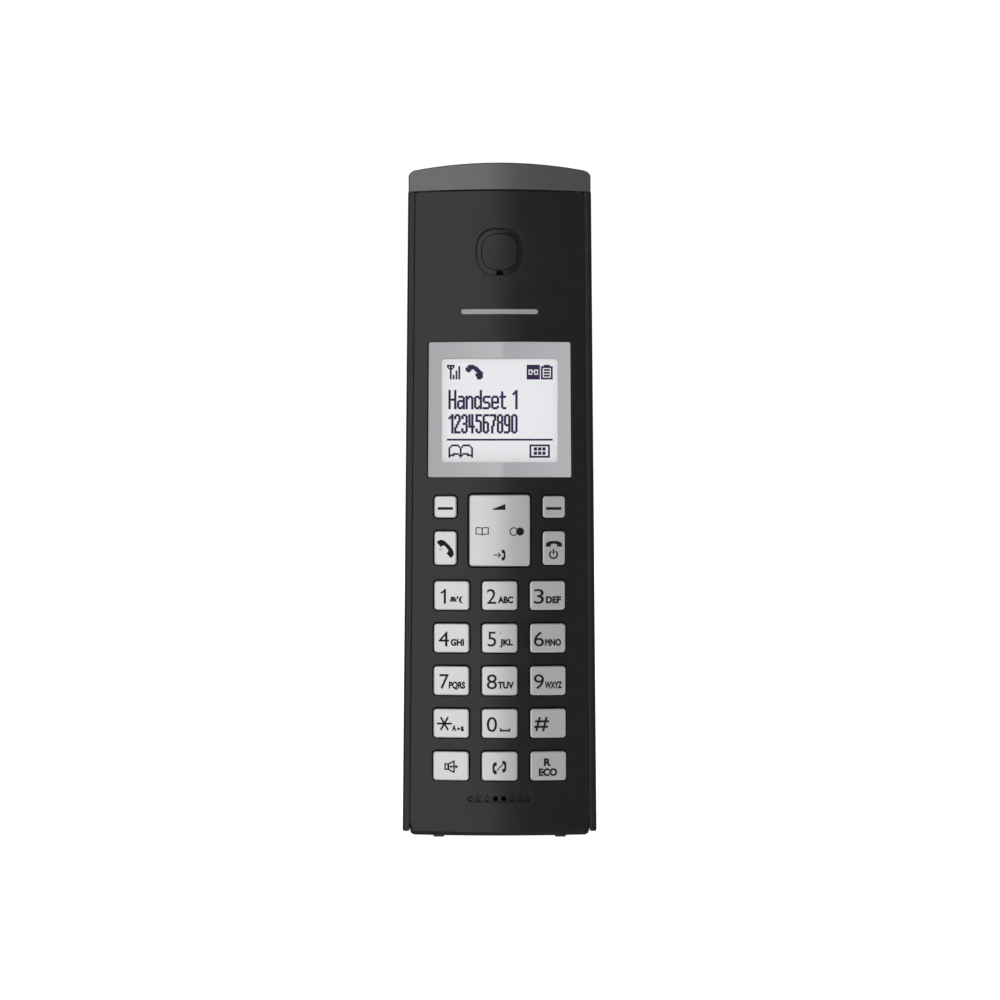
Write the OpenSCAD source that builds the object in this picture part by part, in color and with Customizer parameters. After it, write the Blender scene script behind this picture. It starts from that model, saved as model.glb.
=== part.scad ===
// Cordless telephone handset. A crowned front cover, a tub-shaped rear cover, two side trims and a top cap
// close round one circuit board, a display, twenty sprung keys, two AAA cells and their sliding cover.
// X runs to the right as seen from the front, Y runs from the front to the back, and Z is up.
// The origin is the centre of the footprint, on the surface that the feet stand on.

/* [Body] */
// Height from the feet to the crest of the top cap
body_h = 168.9; // [167:0.1:172]
// Width over the side trims at the foot
base_w = 48.8; // [48:0.1:49.2]
// Width over the side trims at the top cap
top_w = 46; // [45.4:0.1:46.4]
// Depth of the body at the foot, from the crest of the front to the back
body_d = 25; // [25:0.1:26]
// Depth that the back loses between the foot and the top
back_taper = 7; // [6:0.5:7]
// Radius of the front's crown across its width
crown_r = 122; // [118:1:140]
// Radius of the two rear edges
rear_r = 7; // [6:0.5:7.5]
// Wall thickness of the covers
wall = 1.8; // [1.6:0.1:1.9]
// Height of the top cap at its crest
cap_h = 6.75; // [6:0.05:7.5]

/* [Display] */
// Height of the display window
window_h = 33.9; // [32:0.1:34]
// Width of the display window at its middle
window_w = 35.7; // [34.5:0.1:35.8]
// Height of the window's centre above the feet
window_z = 107.1; // [106:0.1:107.5]

/* [Keys] */
// How far a key stands above the front
key_proud = 0.9; // [0.5:0.1:1.1]
// Width of a dialling key
key_w = 9.1; // [8.6:0.1:9.3]
// Height of a dialling key
key_h = 7.4; // [7:0.1:7.6]
// Distance between the columns of dialling keys
key_pitch_x = 12.15; // [12:0.05:12.3]
// Distance between the rows of dialling keys
key_pitch_z = 10.65; // [10.4:0.05:10.7]
// Height of the bottom row's centre above the feet
key_row_z = 18; // [17.8:0.05:18.2]
// Clearance round a key in its opening
key_gap = 0.2; // [0.15:0.05:0.3]

/* [Power] */
// Diameter of an AAA cell
cell_d = 10.5; // [10.2:0.1:10.5]
// Length of an AAA cell with its terminal
cell_l = 44.5; // [44:0.1:44.6]
// Width of the battery cover
cover_w = 32; // [31:0.5:32]
// Length of the battery cover
cover_l = 74; // [73:0.5:76]

/* [Hidden] */

charcoal = "#3a3a3b";
graphite = "#6b6b6e";
silver = "#c9c9cc";
rubber = "#8f9296";
board = "#1f6b42";
nickel = "#c8c4b8";

front_y = key_proud - (body_d + key_proud) / 2; // crest of the front
rear_y = (body_d + key_proud) / 2;              // back, at the foot
foot_h = 0.35;                                  // height of the two pairs of feet
cap_z = body_h - cap_h;                         // underside of the top cap
joint_gap = 0.35;                               // shadow gap under the top cap
covers_top = cap_z - joint_gap;
side_slope = (base_w - top_w) / 2 / cap_z;
side_lean = atan(side_slope);
back_lean = atan(back_taper / body_h);
trim_t = 1.7;                                   // thickness of a side trim
trim_foot_z = 1.1;                              // lower end of a side trim
seam_gap = 0.15;                                // gap between a trim and the front cover
front_seam_y = -3.2;                            // rear edge of the front cover
rear_seam_y = -3.05;                            // front edge of the rear cover
cavity_y = -8.9;                                // inner face of the front
window_seat_y = -9.6;                           // ledge that the window is stuck to
view_w = 29.2;                                  // visible part of the display
view_h = 26;
view_z = window_z - 0.2;
flange_y = -8.8;                                // front face of a key's retaining flange
flange_t = 0.75;
plunger_tip_y = -6.3;
board_y = -5.4;                                 // front face of the circuit board
board_t = 1;
mat_t = 0.8;
corner_r = 0.9;                                 // corner radius of the keys
nav_w = 15.4;
nav_h = 18.05;
nav_z = 76.85;
nav_gap = 0.3;
nav_seat_y = -8.1;                              // front face of the rocker's flange
nav_pivot_y = -8.2;                             // middle of the ball that the rocker tilts on
nav_ball_r = 1.5;
nav_tip_y = -6.05;                              // tips of the rocker's four plungers
side_key_x = 13.55;
side_key_w = 5.75;
soft_key_h = 5.6;
soft_key_z = 82.75;
call_key_h = 8.6;
call_key_z = 72.45;
earpiece_z = 146.55;
earpiece_outer = 11.75;
earpiece_inner = 9.2;
mic_z = 9.65;
speaker_z = 99;
screw_spots = [[15.2, 150], [13.8, 8]];
screw_seat_y = 1.2;
bay_z = 14;                                     // lower inner end of the battery bay
bay_l = cell_l + 5;
bay_x = 11.5;                                   // inner half width of the bay
bay_floor_y = -2.2;
cell_x = 5.65;
cell_y = bay_floor_y + 0.15 + cell_d / 2;
cell_nub = 1;
spring_l = 4.1;
plate_t = 0.4;
cover_t = 1.6;
tongue_z = [5, 68];
$fn = 48;
FINE = 256;                                     // segments of the crown

// Half width over the side trims at a height, and the same as a share of the foot's
function side_x(z) = base_w / 2 - side_slope * z;
function panel_x(z) = side_x(z) - trim_t - seam_gap;
function tidy(length) = round(50 * length) / 50;
function flare(z) = side_x(z) / side_x(key_row_z);
function window_x(z) = window_w / 2 * side_x(z) / side_x(window_z);
function row_z(row) = key_row_z + key_pitch_z * (4 - row);
function column_x(row, column) = (column - 1) * tidy(key_pitch_x * flare(row_z(row)));
function row_key_w(row) = tidy(key_w * flare(row_z(row)));

// Every spot where a key presses a switch: x, z and the radius of the plunger's well
dial_spots = [for (row = [0:4], column = [0:2]) [column_x(row, column), row_z(row)]];
side_spots = [for (s = [-1, 1], z = [soft_key_z, call_key_z]) [s * side_key_x, z]];
nav_spots = [for (d = [[6, 0], [-6, 0], [0, 7], [0, -7]]) [d[0], nav_z + d[1]]];

// A flat shape drawn as seen from the front, made solid between two depths
module from_front(y0, y1) translate([0, y1, 0]) rotate([90, 0, 0]) linear_extrude(y1 - y0) children();

// A round bar along Y between two depths
module bar(x, z, r, y0, y1) translate([x, y1, z]) rotate([90, 0, 0]) cylinder(r = r, h = y1 - y0);

module both_sides() for (s = [0, 1]) mirror([s, 0, 0]) children();

// The frames of the leaning back and of the right side, whose outer face is then at x = 0
module lean_back() translate([0, rear_y, foot_h]) rotate([back_lean, 0, 0]) translate([0, -rear_y, -foot_h]) children();
module lean_side() translate([base_w / 2, 0, 0]) rotate([0, -side_lean, 0]) children();

module rounded(w, h, r) {
    square([w - 2 * r, h], center = true);
    square([w, h - 2 * r], center = true);
    for (x = [-1, 1], z = [-1, 1]) translate([x * (w / 2 - r), z * (h / 2 - r)]) circle(r);
}

// Everything behind the crowned front surface, sunk below it by inset
module behind_crown(inset) translate([0, 0, -5]) linear_extrude(body_h + 10) intersection() {
    translate([0, front_y + crown_r]) circle(crown_r - inset, $fn = FINE);
    translate([-30, front_y - 3]) square([60, 50]);
}

// Right half of a level cut of the back, with its outer face at x = 0
module rear_section(inset) {
    r = rear_r - inset;
    reach = base_w / 2 + 4;
    deep = rear_y + 20;
    translate([-reach, -20]) square([reach - inset - r, deep - inset]);
    translate([-reach, -20]) square([reach - inset, deep - inset - r]);
    translate([-inset - r, rear_y - inset - r]) circle(r, $fn = 96);
}

// Everything inside the leaning back and sides, sunk by inset
module inside_back(inset)
    lean_back() both_sides() lean_side()
        translate([0, 0, -10]) linear_extrude(body_h + 30) rear_section(inset);

// Front view of the front cover, with its two lower corners cut off
module panel_outline(inset, top) {
    z0 = foot_h + inset;
    z1 = z0 + 1.5;
    right = [[panel_x(z0) - inset - 1.2, z0], [panel_x(z1) - inset, z1], [panel_x(top) - inset, top]];
    polygon(concat(right, [for (i = [2:-1:0]) [-right[i][0], right[i][1]]]));
}

// Front view of the rear cover: only its lower corners and its top matter
module rear_outline(inset, top) {
    x1 = base_w / 2 + 1;
    slope = 1.08;
    z0 = foot_h + 0.1 + inset;
    z1 = 4.2 + slope + 1.47 * inset;
    right = [[x1 - (z1 - z0) / slope, z0], [x1, z1], [x1, top]];
    polygon(concat(right, [for (i = [2:-1:0]) [-right[i][0], right[i][1]]]));
}

module window_outline(grow) {
    z0 = window_z - window_h / 2 - grow;
    z1 = window_z + window_h / 2 + grow;
    polygon([[-window_x(z0) - grow, z0], [window_x(z0) + grow, z0], [window_x(z1) + grow, z1], [-window_x(z1) - grow, z1]]);
}

// Two feet under a cover, running from its front to its back
module feet(y0, y1) both_sides()
    from_front(y0, y1) polygon([[13.9, foot_h + 0.2], [13.9, 0.3], [14.2, 0], [16.3, 0], [16.6, 0.3], [16.6, foot_h + 0.2]]);

module front_cover() color(charcoal) difference() {
    union() {
        difference() {
            intersection() {
                behind_crown(0);
                from_front(front_y - 1, front_seam_y) panel_outline(0, covers_top);
            }
            from_front(cavity_y, front_seam_y + 1) panel_outline(wall, covers_top + 5);
            both_sides() translate([19, front_seam_y - 0.65, 0]) cube([6, 2, body_h]);
        }
        for (spot = screw_spots) both_sides() bar(spot[0], spot[1], 2.5, cavity_y - 0.6, -0.5);
        difference() {
            bar(0, earpiece_z, 7.8, cavity_y - 0.5, -6.5);
            bar(0, earpiece_z, 6.65, cavity_y, -6);
        }
        feet(-10.4, -4.4);
    }
    from_front(front_y - 1, window_seat_y) window_outline(0.12);
    from_front(window_seat_y - 1, cavity_y + 1) translate([0, view_z]) square([view_w + 1.2, view_h + 1.2], center = true);
    from_front(front_y - 1, cavity_y + 0.5) key_openings();
    earpiece_groove();
    from_front(cavity_y - 4, cavity_y + 0.5) translate([0, earpiece_z - earpiece_outer / 2 + 0.62]) square([1.8, 1.1], center = true);
    microphone_slot();
    for (spot = screw_spots) both_sides() bar(spot[0], spot[1], 1, -7, 0);
}

module key_openings() {
    for (row = [0:4], column = [0:2])
        translate([column_x(row, column), row_z(row)])
            rounded(row_key_w(row) + 2 * key_gap, key_h + 2 * key_gap, corner_r + key_gap);
    for (s = [-1, 1]) {
        translate([s * side_key_x, soft_key_z])
            rounded(side_key_w + 2 * key_gap, soft_key_h + 2 * key_gap, corner_r + key_gap);
        translate([s * side_key_x, call_key_z])
            rounded(side_key_w + 2 * key_gap, call_key_h + 2 * key_gap, corner_r + key_gap);
    }
    translate([0, nav_z]) rounded(nav_w + 2 * nav_gap, nav_h + 2 * nav_gap, corner_r + nav_gap);
}

module earpiece_groove() difference() {
    from_front(front_y - 1, front_y + 0.75) translate([0, earpiece_z]) difference() {
        rounded(earpiece_outer, earpiece_outer, 4.7);
        rounded(earpiece_inner, earpiece_inner, 3.6);
    }
}

// A shallow slot with eight dimples, of which the middle two go through
module microphone_slot() {
    from_front(front_y - 1, front_y + 0.4) translate([0, mic_z]) rounded(15.8, 1.5, 0.74);
    for (i = [0:7]) bar((i - 3.5) * 2.1, mic_z, 0.62, front_y - 1, front_y + 0.9);
    for (s = [-1, 1]) bar(s * 1.05, mic_z, 0.5, front_y, cavity_y + 0.5);
}

module rear_cover() color(charcoal) difference() {
    union() {
        difference() {
            intersection() {
                inside_back(0);
                from_front(rear_seam_y, rear_y + 2) rear_outline(0, covers_top);
            }
            intersection() {
                inside_back(wall);
                from_front(rear_seam_y - 1, rear_y + 2) rear_outline(wall, covers_top + 5);
            }
        }
        intersection() {
            inside_back(0.4);
            from_front(-4, rear_y + 2) rear_outline(0.4, covers_top - 1);
            union() {
                lean_back() translate([-18.4, rear_y - 3, 0]) cube([36.8, 2.5, cover_l + 4]);
                translate([-bay_x - 1.1, bay_floor_y - 1.1, bay_z - 1.1]) cube([2 * bay_x + 2.2, 20, bay_l + 2.2]);
                for (spot = screw_spots) both_sides() bar(spot[0], spot[1], 3.1, -0.4, rear_y);
                lean_back() difference() {
                    bar(0, speaker_z, 11.6, rear_y - wall - 3.2, rear_y - 1);
                    bar(0, speaker_z, 10.25, rear_y - 8, rear_y - wall);
                }
            }
        }
        feet(-2.4, 9.6);
    }
    lean_back() from_front(rear_y - cover_t - 0.1, rear_y + 3) cover_outline(0.15);
    lean_back() translate([-cover_w / 2 - 1, rear_y - 1.55, -5]) cube([cover_w + 2, 0.8, tongue_z[1] + 6]);
    translate([-bay_x, bay_floor_y, bay_z]) cube([2 * bay_x, 30, bay_l]);
    lean_back() from_front(rear_y - wall - 0.5, rear_y + 1) translate([0, speaker_z]) speaker_slots();
    for (spot = screw_spots) both_sides() {
        bar(spot[0], spot[1], 1.15, -1, 5);
        bar(spot[0], spot[1], 2.2, screw_seat_y, rear_y + 2);
    }
    both_sides() translate([6.1, 1.4, 0]) cube([4.8, 6.2, 3]);
}

module speaker_slots() for (i = [-3:3]) translate([0, 2.4 * i]) rounded(tidy(2 * sqrt(72 - pow(2.4 * i, 2))), 1.1, 0.54);

// Front view of the battery cover: rounded at the top and square at the foot
module cover_outline(grow) {
    z0 = foot_h + 0.4 - grow * 30;
    z1 = foot_h + 0.4 + cover_l + grow;
    w = cover_w + 2 * grow;
    r = 3;
    translate([-w / 2, z0]) square([w, z1 - z0 - r]);
    translate([-w / 2 + r, z0]) square([w - 2 * r, z1 - z0]);
    for (s = [-1, 1]) translate([s * (w / 2 - r), z1 - r]) circle(r);
}

module battery_cover() color(charcoal) lean_back() difference() {
    union() {
        from_front(rear_y - cover_t, rear_y) cover_outline(0);
        translate([-cover_w / 2 - 0.85, rear_y - 1.45, tongue_z[0]]) cube([cover_w + 1.7, 0.6, tongue_z[1] - tongue_z[0]]);
    }
    for (i = [0:5]) from_front(rear_y - 0.35, rear_y + 1) translate([0, cover_l - 8 - 2 * i]) rounded(14 - i * 1.6, 0.9, 0.44);
}

// A trim's bar with a round outer front edge, and the flange that the two covers hold it by
module trim_section() {
    translate([-trim_t, -9.9]) square([trim_t - 0.7, 6.75]);
    translate([-trim_t, -9.2]) square([trim_t, 6.05]);
    translate([-0.7, -9.2]) circle(0.7);
    translate([-trim_t - 1.5, -3.75]) square([1.6, 0.6]);
}

module side_trim() color(charcoal) intersection() {
    lean_side() translate([0, 0, -5]) linear_extrude(body_h + 10) trim_section();
    translate([0, -20, trim_foot_z]) cube([40, 40, covers_top - trim_foot_z]);
}

// Front view of the top cap: a low arch with rounded shoulders
module cap_outline(inset) {
    half_w = side_x(cap_z) - 0.12;
    shoulder_z = body_h - 1.6;
    arch_r = (pow(half_w, 2) + pow(1.9, 2)) / (2 * 1.9);
    offset(r = 1.8 - inset) offset(delta = -1.8) intersection() {
        translate([0, body_h - arch_r]) circle(arch_r, $fn = FINE);
        translate([-half_w, cap_z - 4]) square([2 * half_w, shoulder_z - cap_z + 6]);
    }
}

module top_cap() color(graphite) difference() {
    union() {
        intersection() {
            behind_crown(0);
            inside_back(0);
            from_front(front_y - 1, rear_y) cap_outline(0);
            translate([-30, -30, cap_z]) cube([60, 60, 20]);
        }
        // Skirt that plugs into the two covers
        intersection() {
            translate([-30, cavity_y + 0.1, cap_z - 3.5]) cube([60, 30, 4.5]);
            inside_back(wall + 0.15);
            from_front(cavity_y + 0.1, rear_y) panel_outline(wall + 0.15, body_h);
        }
    }
    intersection() {
        translate([-30, cavity_y + 1.3, cap_z - 5]) cube([60, 30, 9]);
        inside_back(wall + 1.35);
        from_front(cavity_y + 1, rear_y) panel_outline(wall + 1.35, body_h);
    }
}

// A key: a crowned cap, the flange that keeps it in, and the plunger that presses its switch
module key(x, z, w, h, plunger_r) {
    intersection() {
        behind_crown(-key_proud);
        from_front(front_y - 2, flange_y + 0.1) translate([x, z]) rounded(w, h, corner_r);
    }
    from_front(flange_y, flange_y + flange_t) translate([x, z]) rounded(w + 1, h + 1, corner_r);
    bar(x, z, plunger_r, flange_y + 0.3, plunger_tip_y);
}

module dial_key(row, column) color(silver)
    key(column_x(row, column), row_z(row), row_key_w(row), key_h, 1.5);

module soft_key(s) color(silver) key(s * side_key_x, soft_key_z, side_key_w, soft_key_h, 1.2);

module call_key(s) color(silver) key(s * side_key_x, call_key_z, side_key_w, call_key_h, 1.2);

// Four-way rocker: it tilts on the ball-ended post that stands in its hub
module nav_key() color(silver) difference() {
    union() {
        intersection() {
            behind_crown(-key_proud);
            from_front(front_y - 2, nav_seat_y + 0.1) translate([0, nav_z]) rounded(nav_w, nav_h, corner_r);
        }
        from_front(nav_seat_y, nav_seat_y + flange_t) translate([0, nav_z]) rounded(nav_w + 1, nav_h + 1, corner_r);
        bar(0, nav_z, 2.7, nav_seat_y, -7.1);
        for (spot = nav_spots) bar(spot[0], spot[1], 1.2, nav_seat_y, nav_tip_y);
    }
    bar(0, nav_z, nav_ball_r + 0.15, nav_pivot_y - nav_ball_r - 0.15, -6);
}

module nav_post() color(rubber) {
    translate([0, nav_pivot_y, nav_z]) sphere(nav_ball_r);
    bar(0, nav_z, nav_ball_r - 0.2, nav_pivot_y, -6.65);
}

module keypad_mat() color(rubber) difference() {
    union() {
        from_front(board_y - mat_t, board_y) translate([0, 49.5]) rounded(32.6, 73.4, 2);
        for (spot = concat(dial_spots, side_spots)) bar(spot[0], spot[1], 2.7, -7.3, board_y - 0.1);
        bar(0, nav_z, 4, -6.5, board_y);
    }
    for (spot = concat(dial_spots, side_spots, nav_spots)) {
        bar(spot[0], spot[1], 1.8, -8, board_y + 1);
        bar(spot[0], spot[1], 2.3, board_y - 0.4, board_y + 1);
    }
}

module dome_switches() color(nickel) for (spot = concat(dial_spots, side_spots, nav_spots)) {
    bar(spot[0], spot[1], 2.1, board_y - 0.12, board_y);
    bar(spot[0], spot[1], 1.3, board_y - 0.22, board_y - 0.1);
}

module main_board() color(board) from_front(board_y, board_y + board_t)
    polygon([[-9, 4.5], [9, 4.5], [9, 11.6], [16.4, 11.6], [16.4, 137], [-16.4, 137], [-16.4, 11.6], [-9, 11.6]]);

module display_window() color("#b4b4b8") intersection() {
    behind_crown(0.03);
    from_front(front_y - 1, window_seat_y - 0.05) window_outline(0);
}

module lcd_panel() color("#dfe2e6") from_front(-8.8, -7.3) translate([0, view_z]) square([34.6, 31], center = true);

module lcd_holder() color("#f2f2f0") difference() {
    from_front(-8.7, board_y - 0.05) translate([0, view_z]) rounded(37, 34, 1);
    from_front(-9, -7.2) translate([0, view_z]) square([34.9, 31.3], center = true);
    from_front(-7.5, board_y - 0.35) translate([0, view_z]) square([33, 29], center = true);
    translate([-8.5, -9, view_z - 18]) cube([17, 1.9, 4]);
}

module light_guide() color("#eef4f8") from_front(-7.15, board_y - 0.4) translate([0, view_z]) square([32.8, 28.8], center = true);

module display_ribbon() color("#c98a2b") {
    z = view_z - 15.55;
    translate([-7.5, -7.9, z - 2.4]) cube([15, 0.2, 2.4]);
    translate([-7.5, -7.9, z - 2.6]) cube([15, 7.9 + board_y - 0.02, 0.2]);
}

module shield_can() color(nickel) difference() {
    from_front(board_y + board_t, -2) translate([0, 117]) square([26, 24], center = true);
    from_front(board_y, -2.3) translate([0, 117]) square([25.4, 23.4], center = true);
}

module board_chips() color("#242426") {
    back = board_y + board_t;
    from_front(back, back + 0.9) translate([-5, 92]) square([11, 11], center = true);
    from_front(back, back + 0.9) translate([9, 93]) square([6, 8], center = true);
    from_front(back, back + 1.1) translate([10, 83]) square([7, 4], center = true);
    for (i = [0:4]) from_front(back, back + 0.6) translate([-12 + 3 * i, 79]) square([1.6, 0.9], center = true);
    for (i = [0:3]) from_front(back, back + 0.7) translate([13.6, 30 + 9 * i]) square([1.2, 2.2], center = true);
    for (s = [-1, 1]) bar(s * 4.6, 8, 1.6, back, back + 2.6);
}

module antenna() color(nickel) {
    back = board_y + board_t;
    translate([-11, -1.8, 130.6]) cube([22, 0.3, 5.8]);
    for (x = [-11, -5]) translate([x, back, 133]) cube([0.3, -1.6 - back, 2]);
}

module earpiece_receiver() color("#4a4a4d") {
    bar(0, earpiece_z, 6.5, -8.2, -6.2);
    bar(0, earpiece_z, 4.6, -6.3, -5.4);
}

module ring(x, z, r_out, r_in, y0, y1) difference() {
    bar(x, z, r_out, y0, y1);
    bar(x, z, r_in, y0 - 1, y1 + 1);
}

module earpiece_gasket() color("#202020") ring(0, earpiece_z, 6.5, 4.9, cavity_y + 0.03, -8.22);

module microphone() color(nickel) bar(0, mic_z, 2, -6.85, board_y - 0.03);

module microphone_boot() color("#202020") difference() {
    bar(0, mic_z, 3.2, cavity_y + 0.03, board_y - 0.03);
    bar(0, mic_z, 2.05, -7, board_y + 1);
    bar(0, mic_z, 1.6, cavity_y - 1, -6.9);
}

module loudspeaker() color("#4a4a4d") lean_back() {
    bar(0, speaker_z, 10, rear_y - wall - 2.1, rear_y - wall - 0.6);
    bar(0, speaker_z, 6.2, rear_y - wall - 4.1, rear_y - wall - 2);
}

module loudspeaker_gasket() color("#202020") lean_back()
    ring(0, speaker_z, 9.9, 8.8, rear_y - wall - 0.55, rear_y - wall - 0.05);

// An AAA cell standing on its flat end, s = 1, or on its terminal, s = -1
module battery_cell(s) color(s > 0 ? "#4d7f5b" : "#4f7f5d") {
    low = s > 0 ? bay_z + plate_t + spring_l : bay_z + plate_t + 0.05 + cell_nub;
    nub_z = s > 0 ? low + cell_l - cell_nub - 0.1 : low - cell_nub;
    translate([-s * cell_x, cell_y, low]) cylinder(d = cell_d, h = cell_l - cell_nub);
    translate([-s * cell_x, cell_y, nub_z]) cylinder(r = 1.9, h = cell_nub + 0.1);
}

// Points round one ring of a coil spring's wire
function coil_ring(turn, r, wire, rise) = [for (k = [0:7])
    let (a = 360 * turn, b = 45 * k)
    [(r + wire * cos(b)) * cos(a), (r + wire * cos(b)) * sin(a), rise * turn + wire * sin(b)]];

// A closed coil of round wire that narrows to its tip
module coil(turns, r0, r1, wire, rise) {
    steps = 20 * turns;
    rings = [for (i = [0:steps]) coil_ring(i / 20, r0 + (r1 - r0) * i / steps, wire, rise)];
    last = 8 * steps;
    polyhedron(
        points = [for (ring = rings) for (p = ring) p],
        faces = concat(
            [[for (k = [0:7]) k]],
            [for (i = [0:steps - 1], k = [0:7]) [8 * i + k, 8 * i + 8 + k, 8 * i + 8 + (k + 1) % 8, 8 * i + (k + 1) % 8]],
            [[for (k = [7:-1:0]) last + k]]
        )
    );
}

module battery_springs() color(nickel) {
    translate([-cell_x, cell_y, bay_z + plate_t + 0.3]) coil(4, 3.6, 2.2, 0.28, 0.87);
    translate([cell_x, cell_y, bay_z + bay_l - plate_t - 0.3]) rotate([180, 0, 0]) coil(4, 3.6, 2.2, 0.28, 0.87);
}

module battery_plates() color(nickel) for (z = [bay_z + 0.02, bay_z + bay_l - plate_t - 0.02], s = [-1, 1])
    translate([s * cell_x - 4.4, cell_y - 4, z]) cube([8.8, 8, plate_t - 0.02]);

module charge_contact() color(nickel) {
    translate([6.2, 1.5, foot_h - 0.05]) cube([4.6, 6, 0.5]);
    translate([6.2, 7.1, foot_h]) cube([4.6, 0.4, 6.4]);
}

module case_screws() color(nickel) for (spot = screw_spots) both_sides() difference() {
    union() {
        bar(spot[0], spot[1], 0.98, -6.6, screw_seat_y + 0.1);
        bar(spot[0], spot[1], 1.9, screw_seat_y + 0.02, screw_seat_y + 1.4);
    }
    for (turn = [0, 90]) translate([spot[0], screw_seat_y + 1.1, spot[1]]) rotate([0, turn, 0])
        cube([2.2, 1.4, 0.5], center = true);
}

front_cover();
rear_cover();
top_cap();
mirror([1, 0, 0]) side_trim();  // side_trim_left
side_trim();  // side_trim_right
battery_cover();
display_window();
lcd_panel();
lcd_holder();
light_guide();
display_ribbon();
keypad_mat();
dome_switches();
main_board();
shield_can();
board_chips();
antenna();
earpiece_receiver();
earpiece_gasket();
microphone();
microphone_boot();
loudspeaker();
loudspeaker_gasket();
battery_cell(1);  // battery_cell_left
battery_cell(-1);  // battery_cell_right
battery_springs();
battery_plates();
mirror([1, 0, 0]) charge_contact();  // charge_contact_left
charge_contact();  // charge_contact_right
case_screws();
dial_key(0, 0);  // key_1
dial_key(0, 1);  // key_2
dial_key(0, 2);  // key_3
dial_key(1, 0);  // key_4
dial_key(1, 1);  // key_5
dial_key(1, 2);  // key_6
dial_key(2, 0);  // key_7
dial_key(2, 1);  // key_8
dial_key(2, 2);  // key_9
dial_key(3, 0);  // key_star
dial_key(3, 1);  // key_0
dial_key(3, 2);  // key_hash
dial_key(4, 0);  // key_speaker
dial_key(4, 1);  // key_intercom
dial_key(4, 2);  // key_recall
soft_key(-1);  // soft_key_left
soft_key(1);  // soft_key_right
call_key(-1);  // talk_key
call_key(1);  // end_key
nav_key();
nav_post();
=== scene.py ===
import math
import bmesh
import bpy
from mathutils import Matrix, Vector


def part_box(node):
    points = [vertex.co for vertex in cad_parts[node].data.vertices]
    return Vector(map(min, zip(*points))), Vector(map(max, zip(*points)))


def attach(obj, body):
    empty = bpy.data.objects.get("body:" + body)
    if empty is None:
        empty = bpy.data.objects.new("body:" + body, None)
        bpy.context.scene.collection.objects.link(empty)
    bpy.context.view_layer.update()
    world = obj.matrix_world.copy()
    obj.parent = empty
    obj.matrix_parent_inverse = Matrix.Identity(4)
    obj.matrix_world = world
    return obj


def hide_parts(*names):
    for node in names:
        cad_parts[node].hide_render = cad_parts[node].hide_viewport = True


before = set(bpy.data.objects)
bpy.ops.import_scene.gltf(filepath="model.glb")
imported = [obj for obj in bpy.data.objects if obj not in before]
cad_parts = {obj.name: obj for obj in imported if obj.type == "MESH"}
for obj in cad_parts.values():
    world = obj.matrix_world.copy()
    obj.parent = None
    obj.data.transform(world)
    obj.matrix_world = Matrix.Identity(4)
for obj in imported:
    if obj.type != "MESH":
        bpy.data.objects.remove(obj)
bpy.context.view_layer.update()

# Lengths are in millimetres and become metres where a mesh is made.
# x goes across, y from the front to the back, and z up.
MM = 0.001
FRONT = -12.05           # crest of the front cover
KEY_TOP = FRONT - 0.9    # crest of the keys
INNER = -8.9             # inner face of the front cover
SEAM = -3.2              # where the front cover ends and the rear cover begins
REAR = 12.95             # the back, at the foot
CROWN_R = 122.0          # radius of the front across its width
FOOT = 0.35              # height of the feet
FOOT_HALF = 24.4         # half width at the foot
HEIGHT = 168.9           # height of the whole handset
JOINT_Z = 162.15         # underside of the top cap
JOINT_DROP = 0.28        # how much lower that joint is at the sides
NARROWING = 1.4 / JOINT_Z  # how much each side comes in per unit of height
LEANING = 7 / HEIGHT     # how much the back comes forward per unit of height
WALL = 1.8               # thickness of the covers
TRIM = 1.85              # what each side trim and its gap take from the front cover
REAR_ROUND = 6.9         # radius of the long rear edges
RING_Z = 146.55          # middle of the earpiece ring
MIC_Z = 9.65             # middle of the microphone slot
KEY_CORNER = 0.9         # radius of a key's corners, seen from the front
FLANGE = 0.5             # how far a key's flange reaches past its cap
SEAT_GAP = 0.12          # gap round the display window
PAST = 2.0               # how far a tool reaches in front of the face it cuts
BEHIND = -8.0            # where a tool ends that goes through the front cover
ABOVE = 170.0            # a height past the top of the handset
VIEW = (0.0, 106.9, 14.6, 13.0)  # centre and half size of the display's picture
DIAL_KEYS = [["key_1", "key_2", "key_3"], ["key_4", "key_5", "key_6"], ["key_7", "key_8", "key_9"],
             ["key_star", "key_0", "key_hash"], ["key_speaker", "key_intercom", "key_recall"]]
SIDE_KEYS = ["soft_key_left", "soft_key_right", "talk_key", "end_key"]
KEYS = [key for row in DIAL_KEYS for key in row] + SIDE_KEYS


def half_width(z):
    """Half the handset's width at a height."""
    return FOOT_HALF - NARROWING * z


def sag(x):
    """How far the crowned front has fallen back at a distance from its middle."""
    return CROWN_R - math.sqrt(CROWN_R ** 2 - x ** 2)


def span(node, axis):
    """Lowest and highest place of one of the frame's nodes along an axis."""
    low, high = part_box(node)
    return low[axis] / MM, high[axis] / MM


# Shader wiring

class Wire:
    """A number or colour that a finish works out at every point of a surface."""

    def __init__(self, finish, socket):
        self.finish, self.socket = finish, socket

    def sum(self, operation, *values):
        """The wire that one Math node makes of one or two values."""
        return self.finish.node("Math", {"operation": operation}, dict(enumerate(values)))

    def __add__(self, other):
        return self.sum("ADD", self, other)

    def __radd__(self, other):
        return self.sum("ADD", other, self)

    def __sub__(self, other):
        return self.sum("SUBTRACT", self, other)

    def __rsub__(self, other):
        return self.sum("SUBTRACT", other, self)

    def __mul__(self, other):
        return self.sum("MULTIPLY", self, other)

    def __truediv__(self, other):
        return self.sum("DIVIDE", self, other)

    def __pow__(self, other):
        return self.sum("POWER", self, other)

    def __abs__(self):
        return self.sum("ABSOLUTE", self)

    def at_least(self, other):
        return self.sum("MAXIMUM", self, other)

    def at_most(self, other):
        return self.sum("MINIMUM", self, other)


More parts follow.
